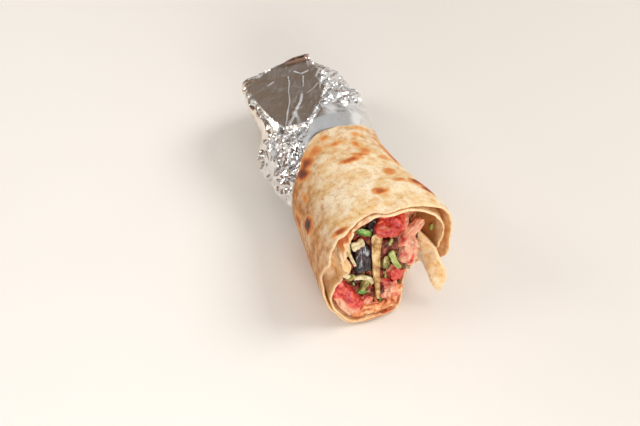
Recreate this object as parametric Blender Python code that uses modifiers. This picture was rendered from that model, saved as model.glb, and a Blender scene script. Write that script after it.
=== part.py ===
# Paratha wrap: a flaky flatbread rolled twice round a filling of spiced chicken, onion and greens,
# with its closed end in crumpled foil. It lies on its flattened side, mouth towards -Y.
#
# Roll coordinates: s runs from the closed end of the roll (0) to its longest lip (ROLL_LENGTH), and phi
# is the angle round the roll's axis, 0 at +X and 90 at the top, counter-clockwise seen from the mouth.
# Lengths are millimetres and angles degrees, until a mesh is made in metres.

import math

import bmesh
import bpy
from mathutils import Euler, Vector, noise

MM = 0.001

# Driving dimensions of the roll.
ROLL_LENGTH = 174.0
STATIONS = (0.0, 18.0, 50.0, 80.0, 110.0, 145.0, 174.0)
HALF_WIDTH_LEFT = (30.0, 33.0, 33.5, 32.0, 33.5, 37.0, 39.5)
HALF_WIDTH_RIGHT = (30.0, 34.0, 33.0, 30.0, 31.0, 34.5, 37.5)
HEIGHT = (46.0, 51.0, 54.0, 57.0, 62.0, 69.0, 73.0)
AXIS_SHARE = 0.48        # height of the axis, as a share of the roll's height
ROUNDNESS = 2.2          # superellipse power of the cross-section
FLAT_BLEND = 1.5         # height over which the round side turns into the flat underside
ORIGIN_SHIFT_X = 0.45    # moves the box of the whole wrap onto the origin
ORIGIN_SHIFT_Y = -1.45

# The flatbread.
BREAD_THICKNESS = 2.2
LAYER_PITCH = 2.7
FOIL_ROOM = 1.2          # more pitch under the outer turn where the foil is tucked in
BREAD_TURN = 750.0       # degrees from the inner free edge to the outer one
INNER_STEP = (30.0, 65.0)     # range of theta where the first edge is stepped over
OUTER_STEP = (390.0, 425.0)
BREAD_BACK = 9.0         # back edge of the inner turn, inside the foil
POCKET_DEPTH = 13.0      # how far the inner free edge leans into the mouth
POCKET_SWING = 30.0
TONGUE_LENGTH = 25.0
TONGUE_SIDE = 14.0       # its length along the free edge
TONGUE_PEAK = 9.0        # theta of the tongue's tip
TONGUE_END = 33.0
# Rows of the flatbread, as depths from the lip towards the back edge.
LIP_DEPTHS = (0.0, 4.0, 8.0, 12.0, 17.0, 23.0, 30.0, 40.0, 54.0, 72.0, 92.0)

# The foil.
FOIL_THICKNESS = 0.7
FOIL_TUCK = 9.0          # how far the foil goes under the outer turn
FOIL_NOTCH = 66.0        # mouth of the foil where the bread comes out over it
FOIL_ROWS = 10
FOIL_END_ROWS = 4
FOIL_END = -8.0          # the folded end lies a little past the roll
FOIL_CORNER = 7.0        # the fold along the upper left stands out by this much

# The filling.
CLEARANCE = 0.4
FILLING_BACK = 20.0
FILLING_FRONT = 170.0    # front of the filling at its foot
FILLING_SLOPE = 0.34     # how far the front leans back for each millimetre of height
FILLING_FOOT = 8.0
FILLING_COLUMNS = 30


def ease(value, low, high):
    """Smooth step from 0 at low to 1 at high."""
    t = min(max((value - low) / (high - low), 0.0), 1.0)
    return t * t * (3.0 - 2.0 * t)


def turned(angle, centre):
    """Signed difference between two angles, in degrees."""
    return (angle - centre + 180.0) % 360.0 - 180.0


def hump(angle, centre, width, power=2.0):
    """1 at the centre angle, falling off on both sides."""
    return math.exp(-(abs(turned(angle, centre)) / width) ** power)


def along(s, values):
    """Smooth value at station s, from the values at STATIONS."""
    s = min(max(s, STATIONS[0]), STATIONS[-1])
    last = len(STATIONS) - 1
    i = max(k for k in range(last) if STATIONS[k] <= s)

    def slope(k):
        low, high = max(k - 1, 0), min(k + 1, last)
        return (values[high] - values[low]) / (STATIONS[high] - STATIONS[low])

    span = STATIONS[i + 1] - STATIONS[i]
    t = (s - STATIONS[i]) / span
    return ((2 * t**3 - 3 * t**2 + 1) * values[i] + (t**3 - 2 * t**2 + t) * span * slope(i)
            + (3 * t**2 - 2 * t**3) * values[i + 1] + (t**3 - t**2) * span * slope(i + 1))


def axis_height(s):
    return along(s, HEIGHT) * AXIS_SHARE


def roll_radius(s, phi):
    """Distance from the axis to the outside of the roll."""
    c, n = math.cos(math.radians(phi)), math.sin(math.radians(phi))
    height = along(s, HEIGHT)
    half_width = along(s, HALF_WIDTH_LEFT if c < 0 else HALF_WIDTH_RIGHT)
    half_height = height * (0.56 if n < 0 else 1.0 - AXIS_SHARE)
    power = ROUNDNESS
    radius = (abs(c / half_width) ** power + abs(n / half_height) ** power) ** (-1.0 / power)
    shoulder = 7.0 * ease(s, 70.0, 190.0) * hump(phi, 42.0, 30.0)
    hollow = 11.0 * ease(s, 100.0, ROLL_LENGTH) * hump(phi, -58.0, 25.0)
    return radius + shoulder - hollow


def flattened(height, floor):
    """Height of a point, kept above the floor with a short blend."""
    over = height - floor
    if over > FLAT_BLEND:
        return height
    if over < -FLAT_BLEND:
        return floor
    return floor + (over + FLAT_BLEND) ** 2 / (4.0 * FLAT_BLEND)


def roll_point(s, phi, inset):
    """A point that lies inset below the outside of the roll."""
    radius = roll_radius(s, phi) - inset
    angle = math.radians(phi)
    height = axis_height(s) + radius * math.sin(angle)
    return Vector((radius * math.cos(angle), ROLL_LENGTH / 2.0 - s, flattened(height, inset)))


# ---------------------------------------------------------------- flatbread

def lip_station(phi):
    """Station of the lip: drawn back at the lower right, longest underneath."""
    return (ROLL_LENGTH - 6.0 - 4.0 * hump(phi, 80.0, 40.0) + 3.0 * hump(phi, 125.0, 25.0)
            + 5.0 * hump(phi, -105.0, 35.0) - 14.0 * hump(phi, -42.0, 26.0) - 5.0 * hump(phi, 10.0, 30.0))


def collar_station(phi):
    """Station of the outer turn's back edge, the arc that lies over the foil."""
    return 78.0 + 22.0 * hump(phi, 190.0, 61.0, 4.0) - 8.0 * hump(phi, 10.0, 35.0)


def turn_inset(theta, s):
    """How far below the outside of the roll the bread's outer face lies."""
    outer_pitch = LAYER_PITCH + FOIL_ROOM * (1.0 - ease(s, 110.0, 126.0))
    return outer_pitch * (1.0 - ease(theta, *OUTER_STEP)) + LAYER_PITCH * (1.0 - ease(theta, *INNER_STEP))


def tongue_length(theta):
    """Length of the tongue that hangs from the inner free edge's corner."""
    if theta < TONGUE_PEAK:
        return TONGUE_SIDE + (TONGUE_LENGTH - TONGUE_SIDE) * theta / TONGUE_PEAK
    return max(0.0, TONGUE_LENGTH * (TONGUE_END - theta) / (TONGUE_END - TONGUE_PEAK))


def tongue_hang(theta):
    """Direction in which the tongue hangs, fanned out towards the free edge."""
    return Vector((0.35 * (1.0 - ease(theta, 0.0, 14.0)) - 0.08, -0.36, -0.9)).normalized()


def tongue_root(theta):
    return 163.0 - 8.0 * ease(theta, 0.0, TONGUE_END)


def bread_lip(theta):
    """Path length to the lip at one column of the sheet."""
    phi = -theta
    lip = lip_station(phi)
    if theta < TONGUE_END + 12.0:
        blend = ease(theta, TONGUE_END, TONGUE_END + 12.0)
        return (tongue_root(theta) + tongue_length(theta)) * (1.0 - blend) + lip * blend
    if theta < OUTER_STEP[0]:
        return lip + 1.5 - 4.0 * hump(phi, -18.0, 24.0) * ease(theta, 300.0, 340.0)
    return lip - 3.5 * hump(phi, -18.0, 24.0)


def bread_back(theta):
    """Path length to the back edge at one column of the sheet."""
    phi = -theta
    out = ease(theta, 330.0, 394.0)
    return BREAD_BACK * (1.0 - out) + collar_station(phi) * out


def bread_point(theta, q):
    """A point on the outer face of the sheet, q along it from the closed end."""
    phi = -theta
    root = tongue_root(theta)
    hanging = max(0.0, q - root) if theta < TONGUE_END + 12.0 else 0.0
    s = q - hanging
    lean = (1.0 - ease(theta, 0.0, 48.0)) * ease(s, 118.0, 146.0) * (1.0 - ease(s, 150.0, 164.0))
    crumple = 0.0
    if theta < OUTER_STEP[0]:
        folds = 4.0 + 1.5 * math.sin(math.radians(9.0 * theta))
        crumple = folds * ease(s, 128.0, 158.0) * hump(theta, 195.0, 38.0, 4.0)
    inset = turn_inset(theta, s) + POCKET_DEPTH * lean + crumple
    point = roll_point(s, phi + POCKET_SWING * lean, inset)
    return point + tongue_hang(theta) * hanging


def bread_columns():
    fine = [5.0 * k for k in range(10)]
    coarse = [50.0 + 10.0 * k for k in range(int((BREAD_TURN - 50.0) / 10.0) + 1)]
    return fine + coarse


def bread_rows(theta):
    """Path lengths of one column's points, from the lip to the back edge."""
    lip, back = bread_lip(theta), bread_back(theta)
    deepest = LIP_DEPTHS[-1] * (lip - back) / (ROLL_LENGTH - 75.0)
    scale = min(1.0, deepest / LIP_DEPTHS[-1])
    rows = [lip - depth * scale for depth in LIP_DEPTHS]
    tail = rows[-1] - back
    return rows + [rows[-1] - tail * share for share in (0.34, 0.67, 1.0)]


def build_bread(collection):
    grid = [[bread_point(theta, q) for q in bread_rows(theta)] for theta in bread_columns()]
    bread = sheet("paratha", grid, False, BREAD_THICKNESS, collection)
    finish(bread, "baked_flatbread", (0.78, 0.58, 0.34), 0.6, 0.0)


# ---------------------------------------------------------------- foil

def foil_mouth(phi):
    """Station of the foil's mouth, under the outer turn except where the bread comes out over it."""
    notch = ease(abs(turned(phi, -50.0)), 14.0, 24.0)
    return FOIL_NOTCH * (1.0 - notch) + (collar_station(phi) + FOIL_TUCK) * notch


def foil_point(phi, s):
    """A point on the outside of the foil."""
    tucked = ease(s, collar_station(phi) - 12.0, collar_station(phi) - 3.0)
    angle = math.radians(phi)
    crumple = 0.6 * noise.noise(Vector((3.0 * math.cos(angle), 3.0 * math.sin(angle), s / 16.0)))
    corner = FOIL_CORNER * hump(phi, 146.0, 18.0) * (1.0 - ease(s, 25.0, 75.0))
    free = (0.9 + crumple) * (1.0 - hump(phi, -90.0, 40.0, 4.0)) - corner
    inset = (BREAD_THICKNESS + CLEARANCE) * tucked + free * (1.0 - tucked)
    return roll_point(s, phi, inset)


def build_foil(collection):
    columns = [10.0 * k for k in range(36)]
    grid = []
    for phi in columns:
        mouth = foil_mouth(phi)
        rows = [foil_point(phi, mouth + (6.0 - mouth) * k / FOIL_ROWS) for k in range(FOIL_ROWS + 1)]
        edge = rows[-1]
        middle = Vector((0.0, ROLL_LENGTH / 2.0 - FOIL_END, 16.0))
        for k in range(1, FOIL_END_ROWS + 1):
            share = k / FOIL_END_ROWS
            point = edge.lerp(middle, share ** 1.4)
            point.y = edge.y + (middle.y - edge.y) * math.sin(math.radians(90.0 * share))
            rows.append(point)
        grid.append(rows[::-1])
    foil = sheet("foil", grid, True, FOIL_THICKNESS, collection)
    finish(foil, "crumpled_foil", (0.72, 0.70, 0.68), 0.25, 1.0)


# ---------------------------------------------------------------- filling

def filling_limit(s, phi):
    """Radius that everything inside the roll stays within."""
    inset = filling_floor(s) + LAYER_PITCH * hump(phi, -12.0, 50.0, 6.0)
    pocket = (POCKET_DEPTH + 4.0) * ease(s, 110.0, 140.0) * hump(phi, 5.0, 42.0, 4.0)
    crumple = 6.0 * ease(s, 118.0, 150.0) * hump(phi, 165.0, 43.0, 4.0)
    return roll_radius(s, phi) - inset - pocket - crumple - 1.2 * (1.0 - ease(s, 20.0, 60.0))


def filling_floor(s):
    """Height of the bread's inner face above the underside, with its clearance."""
    return LAYER_PITCH + FOIL_ROOM * (1.0 - ease(s, 110.0, 126.0)) + BREAD_THICKNESS + CLEARANCE


def kept_inside(point):
    """The point, moved towards the axis where it would touch the bread."""
    s = ROLL_LENGTH / 2.0 - point.y
    rise = point.z - axis_height(s)
    reach = math.hypot(point.x, rise)
    phi = math.degrees(math.atan2(rise, point.x))
    limit = filling_limit(s, phi)
    if reach > limit:
        point = Vector((point.x * limit / reach, point.y, axis_height(s) + rise * limit / reach))
    point.z = max(point.z, filling_floor(s))
    return point


def filling_point(angle, forward, share):
    """A point of the filling: forward from its back (0) to its front (1), share of the full radius."""
    height = axis_height(FILLING_FRONT)
    for _ in range(3):
        front = FILLING_FRONT - FILLING_SLOPE * (height - FILLING_FOOT)
        s = FILLING_BACK + (front - FILLING_BACK) * forward
        lump = noise.noise(Vector((0.1 * s, 3.0 * share * math.cos(angle), 3.0 * share * math.sin(angle))))
        radius = share * (filling_limit(s, math.degrees(angle)) - 1.5 * abs(lump))
        height = max(axis_height(s) + radius * math.sin(angle), filling_floor(s))
    if forward == 1.0:
        s += 3.0 * lump
    return Vector((radius * math.cos(angle), ROLL_LENGTH / 2.0 - s, height))


def build_filling(collection, cutters):
    """The mass that runs through the roll, cut clear of the pieces at its front."""
    rings = [(0.0, 0.5)] + [((k / 8.0) ** 0.8, 1.0) for k in range(9)]
    rings += [(1.0, share) for share in (0.8, 0.6, 0.4, 0.2)]
    step = 2.0 * math.pi / FILLING_COLUMNS
    mesh = bmesh.new()
    loops = []
    for forward, share in rings:
        points = [filling_point(step * k, forward, share) for k in range(FILLING_COLUMNS)]
        loops.append([mesh.verts.new(placed(point)) for point in points])
    for near, far in zip(loops, loops[1:]):
        for k in range(FILLING_COLUMNS):
            after = (k + 1) % FILLING_COLUMNS
            mesh.faces.new((near[k], far[k], far[after], near[after]))
    mesh.faces.new(loops[0])
    mesh.faces.new(loops[-1][::-1])
    filling = solid("filling", mesh, collection)
    cut = filling.modifiers.new("pieces", "BOOLEAN")
    cut.operation = "DIFFERENCE"
    cut.operand_type = "COLLECTION"
    cut.collection = cutters
    finish(filling, "sauced_filling", (0.20, 0.06, 0.03), 0.45, 0.0)


def add_cutter(item, cutters):
    """A copy of a piece, grown by the clearance, that cuts room for it."""
    cutter = item.copy()
    cutter.name = item.name + "_room"
    cutter.data = item.data.copy()
    outside = [vert.co + vert.normal * CLEARANCE * MM for vert in item.data.vertices]
    for vert, point in zip(cutter.data.vertices, outside):
        vert.co = point
    cutters.objects.link(cutter)
    cutter.hide_render = True
    cutter.display_type = "WIRE"


# name, centre (x, s, z), half sizes (x, s, z), tilt (x, y, z), rounds of subdivision, roughness of outline
LUMPS = (
    ("chicken_top", (2.6, 157.0, 50.8), (9.6, 7.0, 7.6), (20, -8, 0), 3, 0.22),
    ("chicken_shred", (17.2, 158.0, 46.0), (3.6, 5.0, 11.0), (10, 36, 0), 2, 0.18),
    ("chicken_right", (11.3, 160.8, 28.0), (5.6, 6.0, 10.0), (20, 8, 0), 2, 0.2),
    ("chicken_dark", (1.6, 158.8, 35.0), (4.6, 5.0, 5.2), (0, 0, 20), 2, 0.25),
    ("chicken_low", (3.8, 166.0, 19.8), (3.9, 4.6, 5.6), (10, 18, 0), 2, 0.22),
    ("chicken_front", (1.0, 171.5, 10.2), (5.8, 4.5, 4.4), (0, -22, 0), 2, 0.22),
    ("chicken_lump", (-11.9, 170.5, 17.0), (2.3, 3.0, 3.2), (0, 0, 0), 2, 0.15),
    ("chicken_big", (-23.2, 171.5, 19.0), (8.4, 6.0, 12.0), (-18, -22, -6), 3, 0.12),
    ("dark_piece", (-14.0, 160.5, 37.5), (5.2, 4.0, 9.5), (8, -4, 10), 2, 0.1),
    ("red_piece", (-26.0, 161.5, 36.5), (5.6, 4.0, 5.0), (0, 15, 0), 2, 0.16),
    ("green_leaf", (-11.5, 158.5, 53.0), (4.8, 3.4, 2.8), (20, -12, 0), 2, 0.15),
    ("pepper_low", (-12.6, 165.2, 25.5), (4.2, 3.0, 2.4), (10, 30, 0), 2, 0.15),
)

# name, ends (x, s, z), half width and half thickness, sideways bow
STRIPS = (
    ("onion_strip", (-4.0, 166.2, 46.5), (-6.6, 172.6, 14.0), 2.7, 1.3, 1.2),
    ("onion_slice", (-21.5, 165.6, 47.0), (-13.0, 165.6, 50.5), 3.1, 1.0, 0.4),
    ("onion_strand", (-20.5, 166.9, 43.0), (-17.6, 168.6, 31.0), 1.2, 0.9, 0.8),
    ("green_stick", (2.8, 166.8, 38.5), (6.2, 170.4, 25.5), 1.8, 1.2, 0.6),
)


# first word of a piece's name: material, colour, roughness, metallic
FINISHES = {
    "chicken": ("spiced_chicken", (0.80, 0.22, 0.16), 0.4, 0.0),
    "dark": ("charred_skin", (0.03, 0.02, 0.03), 0.2, 0.0),
    "red": ("cooked_tomato", (0.25, 0.02, 0.01), 0.25, 0.0),
    "green": ("green_herb", (0.16, 0.32, 0.06), 0.4, 0.0),
    "pepper": ("green_pepper", (0.35, 0.33, 0.08), 0.35, 0.0),
    "onion": ("soft_onion", (0.62, 0.48, 0.24), 0.3, 0.0),
}


def build_lump(row, collection):
    name, centre, half, tilt, rounds, rough = row
    mesh = bmesh.new()
    bmesh.ops.create_icosphere(mesh, subdivisions=rounds, radius=1.0)
    turn = Euler([math.radians(a) for a in tilt]).to_matrix()
    middle = Vector((centre[0], ROLL_LENGTH / 2.0 - centre[1], centre[2]))
    for vert in mesh.verts:
        boxy = vert.co / max(abs(c) for c in vert.co)
        shape = vert.co.lerp(boxy, 0.25)
        shape *= 1.0 + rough * noise.noise(vert.co * 1.7 + middle)
        point = middle + turn @ Vector((shape.x * half[0], shape.y * half[1], shape.z * half[2]))
        vert.co = placed(kept_inside(point))
    item = solid(name, mesh, collection)
    finish(item, *FINISHES[name.split("_")[0]])
    return item


def build_strip(row, collection):
    """A tapered strip that bows between its two ends."""
    name, start, end, half_width, half_thick, bow = row
    first = Vector((start[0], ROLL_LENGTH / 2.0 - start[1], start[2]))
    last = Vector((end[0], ROLL_LENGTH / 2.0 - end[1], end[2]))
    run = (last - first).normalized()
    out = Vector((0.0, -1.0, 0.0))
    side = run.cross(out).normalized()
    out = side.cross(run)
    mesh = bmesh.new()
    bmesh.ops.create_cube(mesh, size=2.0)
    long_edges = [e for e in mesh.edges if abs((e.verts[0].co - e.verts[1].co).z) > 1.0]
    bmesh.ops.subdivide_edges(mesh, edges=long_edges, cuts=7)
    for vert in mesh.verts:
        share = (1.0 - vert.co.z) / 2.0
        taper = 0.45 + 0.55 * math.sin(math.pi * min(1.0, 0.12 + 0.88 * (1.0 - share)) ** 0.8)
        path = first.lerp(last, share) + side * bow * math.sin(math.pi * share)
        point = path + side * (vert.co.x * half_width * taper) + out * (vert.co.y * half_thick)
        vert.co = placed(point)
    item = solid(name, mesh, collection)
    finish(item, *FINISHES[name.split("_")[0]])
    return item


# ---------------------------------------------------------------- making meshes

def placed(point):
    """Roll millimetres to the wrap's own frame, in metres."""
    return Vector((point.x + ORIGIN_SHIFT_X, point.y + ORIGIN_SHIFT_Y, point.z)) * MM


def solid(name, mesh, collection):
    """An object from a finished bmesh, its faces pointing out."""
    mesh.normal_update()
    bmesh.ops.recalc_face_normals(mesh, faces=mesh.faces)
    data = bpy.data.meshes.new(name)
    mesh.to_mesh(data)
    mesh.free()
    item = bpy.data.objects.new(name, data)
    collection.objects.link(item)
    return item


def sheet(name, grid, closed, thickness, collection):
    """A sheet through a grid of points, thickened towards the inside of the roll."""
    mesh = bmesh.new()
    columns = [[mesh.verts.new(placed(point)) for point in column] for column in grid]
    pairs = list(zip(columns, columns[1:]))
    if closed:
        pairs.append((columns[-1], columns[0]))
    for left, right in pairs:
        for k in range(len(left) - 1):
            mesh.faces.new((left[k], right[k], right[k + 1], left[k + 1]))
    if closed:
        bmesh.ops.remove_doubles(mesh, verts=[column[0] for column in columns], dist=0.00001)
    data = bpy.data.meshes.new(name)
    mesh.to_mesh(data)
    mesh.free()
    item = bpy.data.objects.new(name, data)
    collection.objects.link(item)
    shell = item.modifiers.new("thickness", "SOLIDIFY")
    shell.thickness = thickness * MM
    shell.offset = -1.0
    return item


def finish(item, name, colour, roughness, metallic):
    material = bpy.data.materials.get(name) or bpy.data.materials.new(name)
    material.use_nodes = True
    shader = material.node_tree.nodes["Principled BSDF"]
    shader.inputs["Base Color"].default_value = (*colour, 1.0)
    shader.inputs["Roughness"].default_value = roughness
    shader.inputs["Metallic"].default_value = metallic
    item.data.materials.append(material)


def main():
    for item in list(bpy.data.objects):
        bpy.data.objects.remove(item)
    collection = bpy.data.collections.new("paratha_wrap")
    bpy.context.scene.collection.children.link(collection)
    build_bread(collection)
    build_foil(collection)
    cutters = bpy.data.collections.new("cutters")
    bpy.context.scene.collection.children.link(cutters)
    for row in LUMPS:
        add_cutter(build_lump(row, collection), cutters)
    for row in STRIPS:
        add_cutter(build_strip(row, collection), cutters)
    build_filling(collection, cutters)


main()
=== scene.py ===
import math

import bmesh
import bpy
import numpy as np
from mathutils import Euler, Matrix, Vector, noise
from mathutils.bvhtree import BVHTree


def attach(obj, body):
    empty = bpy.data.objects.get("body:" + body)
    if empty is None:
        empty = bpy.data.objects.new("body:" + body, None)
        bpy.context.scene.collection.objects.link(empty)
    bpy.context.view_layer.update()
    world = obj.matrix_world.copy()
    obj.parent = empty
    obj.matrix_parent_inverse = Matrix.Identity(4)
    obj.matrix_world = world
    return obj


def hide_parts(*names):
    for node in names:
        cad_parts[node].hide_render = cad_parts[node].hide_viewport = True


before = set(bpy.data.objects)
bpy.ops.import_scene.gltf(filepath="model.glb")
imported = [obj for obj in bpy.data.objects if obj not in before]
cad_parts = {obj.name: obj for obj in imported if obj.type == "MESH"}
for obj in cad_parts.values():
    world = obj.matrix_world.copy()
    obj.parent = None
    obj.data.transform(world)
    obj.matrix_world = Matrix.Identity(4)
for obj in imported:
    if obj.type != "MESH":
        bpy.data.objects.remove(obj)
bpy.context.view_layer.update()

scene = bpy.context.scene
mm = 0.001   # in metres

# Roll coordinates, as in the CAD: s runs in mm from the closed end to the longest lip, phi is the angle
# round the axis in degrees, 0 at +X and 90 at the top, and an inset is a depth under the outside.
roll = {
    "length": 174.0,
    "stations": (0, 18, 50, 80, 110, 145, 174),
    "halfLeft": (30, 33, 33.5, 32, 33.5, 37, 39.5),
    "halfRight": (30, 34, 33, 30, 31, 34.5, 37.5),
    "height": (46, 51, 54, 57, 62, 69, 73),
    "axisShare": 0.48, "lowShare": 0.56,   # heights of the axis and of the lower half, as shares
    "power": 2.2,   # how square the section is
    "bulges": ((7, (42, 30), (70, 190)), (-11, (-58, 25), (100, 174))),
    "flatBlend": 1.5,
    "shift": (0.45, -1.45, 0.0),   # from the roll's frame to the wrap's own frame
}


def ease(value, low, high):   # 0 at low, 1 at high; low may be the greater
    t = np.clip((np.asarray(value, float) - low) / (high - low), 0, 1)
    return t * t * (3 - 2 * t)


def turned(angle, centre):
    return (np.asarray(angle, float) - centre + 180) % 360 - 180


def hump(angle, centre, width, power=2.0):
    return np.exp(-(np.abs(turned(angle, centre)) / width) ** power)


def humps(phi, rows, s=0.0):
    # rows of height, (angle, width, power) and the pairs of stations between which it comes in
    return sum(height * hump(phi, *shape) * math.prod(ease(s, *span) for span in spans)
               for height, shape, *spans in rows)


def bell(value, centre, width, power=2.0):
    return np.exp(-(np.abs(np.asarray(value, float) - centre) / width) ** power)


def cosSin(degrees):
    angle = np.radians(degrees)
    return np.cos(angle), np.sin(angle)


def lengthwise(s):   # y in roll mm at station s, and s at y
    return roll["length"] / 2 - s


def along(s, values):   # smooth value at station s
    at = np.array(roll["stations"], float)
    values = np.array(values, float)
    s = np.clip(np.asarray(s, float), at[0], at[-1])
    low = np.maximum(np.arange(len(at)) - 1, 0)
    high = np.minimum(np.arange(len(at)) + 1, len(at) - 1)
    slope = (values[high] - values[low]) / (at[high] - at[low])
    i = np.clip(np.searchsorted(at, s, "right") - 1, 0, len(at) - 2)
    span = at[i + 1] - at[i]
    t = (s - at[i]) / span
    return ((2 * t**3 - 3 * t**2 + 1) * values[i] + (t**3 - 2 * t**2 + t) * span * slope[i]
            + (3 * t**2 - 2 * t**3) * values[i + 1] + (t**3 - t**2) * span * slope[i + 1])


def axisHeight(s):
    return along(s, roll["height"]) * roll["axisShare"]


def rollRadius(s, phi):
    c, n = cosSin(phi)
    halfWidth = np.where(c < 0, along(s, roll["halfLeft"]), along(s, roll["halfRight"]))
    halfHeight = along(s, roll["height"]) * np.where(n < 0, roll["lowShare"], 1 - roll["axisShare"])
    power = roll["power"]
    radius = (np.abs(c / halfWidth) ** power + np.abs(n / halfHeight) ** power) ** (-1 / power)
    return radius + humps(phi, roll["bulges"], s)


def flattened(height, floor):
    blend = roll["flatBlend"]
    over = height - floor
    soft = floor + (over + blend) ** 2 / (4 * blend)
    return np.where(over > blend, height, np.where(over < -blend, floor, soft))


def polarPoint(s, phi, radius, floor=0.0):
    c, n = cosSin(phi)
    height = axisHeight(s) + radius * n
    return np.stack([radius * c, lengthwise(s) + 0 * radius, flattened(height, floor)], -1)


def rollPoint(s, phi, inset):
    s, phi, inset = np.broadcast_arrays(np.asarray(s, float), phi, inset)
    return polarPoint(s, phi, rollRadius(s, phi) - inset, inset)


def rippled(points, size, seed=0, octaves=1):   # noise of about -1..1 at points, with features of that size
    places = (np.asarray(points, float) / size + 17.3 * seed + 0.37).reshape(-1, 3).tolist()
    if octaves == 1:
        values = [noise.noise(p) for p in places]
    else:
        values = [noise.fractal(p, 0.7, 2.0, octaves) for p in places]
    return np.array(values).reshape(np.shape(points)[:-1])


def cylinderPlace(phi, s, radius=30.0):   # a place to sample noise at, the same for every turn of the sheet
    c, n, s = np.broadcast_arrays(*cosSin(phi), s)
    return np.stack([radius * c, radius * n, s], -1)


def makePiece(name, points, faces, attributes):
    # points in roll millimetres; faces as lists of corner numbers
    data = bpy.data.meshes.new(name)
    placed = (np.asarray(points, float) + np.array(roll["shift"])) * mm
    data.from_pydata(placed.tolist(), [], faces)
    for label, values in attributes.items():
        values = np.asarray(values, np.float32)
        flat = values.ndim == 1
        layer = data.attributes.new(label, "FLOAT" if flat else "FLOAT_VECTOR", "POINT")
        layer.data.foreach_set("value" if flat else "vector", values.ravel())
    data.polygons.foreach_set("use_smooth", [True] * len(data.polygons))
    data.calc_loop_triangles()
    corners = np.zeros(len(data.loop_triangles) * 3, np.int32)
    data.loop_triangles.foreach_get("vertices", corners)
    a, b, c = np.asarray(points, float)[corners].reshape(-1, 3, 3).transpose(1, 0, 2)
    if np.einsum("ij,ij->", a, np.cross(b, c)) < 0:   # faces look in, so turn them out
        data.flip_normals()
    data.update()
    piece = bpy.data.objects.new(name, data)
    scene.collection.objects.link(piece)
    return piece


def quads(ids):   # faces between the neighbours of a grid of vertex numbers
    return np.stack([ids[:-1, :-1], ids[:-1, 1:], ids[1:, 1:], ids[1:, :-1]], -1).reshape(-1, 4)


def closedRound(ids):   # the grid with its first row again at the end
    return np.concatenate([ids, ids[:1]])


def fan(ring, tip):   # triangles from a ring to one vertex
    return [[int(a), tip, int(b)] for a, b in zip(ring, np.roll(ring, -1))]


def gridNormals(grid):
    normal = np.cross(np.gradient(grid, axis=0), np.gradient(grid, axis=1))
    return normal / np.maximum(np.linalg.norm(normal, axis=-1, keepdims=True), 1e-9)


def finished(piece, slot, material, node=""):
    piece.data.materials.append(material)
    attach(piece, "root")
    if node:
        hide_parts(node)
    return piece


class Wire:   # one output of a shader node; sums of wires add Math nodes
    def __init__(self, tree, socket=None):
        self.tree = tree
        self.socket = socket

    def node(self, kind, settings=None, inputs=None, out=0):
        made = self.tree.nodes.new("ShaderNode" + kind)
        for name, value in (settings or {}).items():
            if name == "stops":   # rows of place, red, green and blue
                elements = made.color_ramp.elements
                while len(elements) < len(value):
                    elements.new(0.5)
                for element, (place, *colour) in zip(elements, value):
                    element.position, element.color = place, rgba(colour)
            else:
                setattr(made, name, value)
        for name, value in (inputs or {}).items():
            if isinstance(value, Wire):
                self.tree.links.new(value.socket, made.inputs[name])
            else:
                made.inputs[name].default_value = value
        return Wire(self.tree, made.outputs[out])

    def maths(self, operation, first, second):
        return self.node("Math", {"operation": operation}, {0: first, 1: second})

    def __add__(self, other): return self.maths("ADD", self, other)
    def __radd__(self, other): return self.maths("ADD", other, self)
    def __sub__(self, other): return self.maths("SUBTRACT", self, other)
    def __rsub__(self, other): return self.maths("SUBTRACT", other, self)
    def __mul__(self, other): return self.maths("MULTIPLY", self, other)
    def __rmul__(self, other): return self.maths("MULTIPLY", other, self)
    def __truediv__(self, other): return self.maths("DIVIDE", self, other)
    def __rtruediv__(self, other): return self.maths("DIVIDE", other, self)

    def above(self, low, high):   # smooth 0..1 between two values
        return self.node("MapRange", {"interpolation_type": "SMOOTHSTEP"},
                         {"Value": self, "From Min": low, "From Max": high})

    def blend(self, *ends):   # a colour mixed by this wire; a plain colour is three numbers of 0..255
        first, second = (end if isinstance(end, Wire) else rgba(end) for end in ends)
        return self.node("Mix", {"data_type": "RGBA"}, {0: self, 6: first, 7: second}, 2)

    def ramp(self, stops):
        return self.node("ValToRGB", {"stops": stops}, {0: self})

    def attribute(self, name, out="Fac"):
        return self.node("Attribute", {"attribute_name": name}, None, out)

    def cloud(self, size, detail=3.0, rough=0.55, where=None):   # noise with features of that size in mm
        place = where or self.node("TexCoord", None, None, "Object")
        return self.node("TexNoise", None,
                         {"Vector": place, "Scale": 1000.0 / size, "Detail": detail, "Roughness": rough})

    def bump(self, height, depth, under=None):   # depth in mm
        below = {} if under is None else {"Normal": under}
        return self.node("Bump", None, {"Height": height, "Distance": depth * mm, "Strength": 1.0, **below})


def startMaterial(name, **fixed):
    material = bpy.data.materials.new(name)
    material.use_nodes = True
    tree = material.node_tree
    sockets = tree.nodes["Principled BSDF"].inputs
    for socket, value in fixed.items():
        sockets[socket.replace("_", " ")].default_value = value

    def connect(**wires):
        for socket, wire in wires.items():
            tree.links.new(wire.socket, sockets[socket.replace("_", " ")])
        return material
    return Wire(tree), connect


def rgba(colour):   # linear colour from the usual 0..255 numbers
    return (*(((v / 255 + 0.055) / 1.055) ** 2.4 if v > 10 else v / 255 / 12.92 for v in colour), 1.0)


view = {
    "aim": (-0.01155, -0.00345, 0.004), "distance": 0.9, "azimuth": -109.0, "elevation": 45.0, "lens": 87.0,
}

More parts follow.
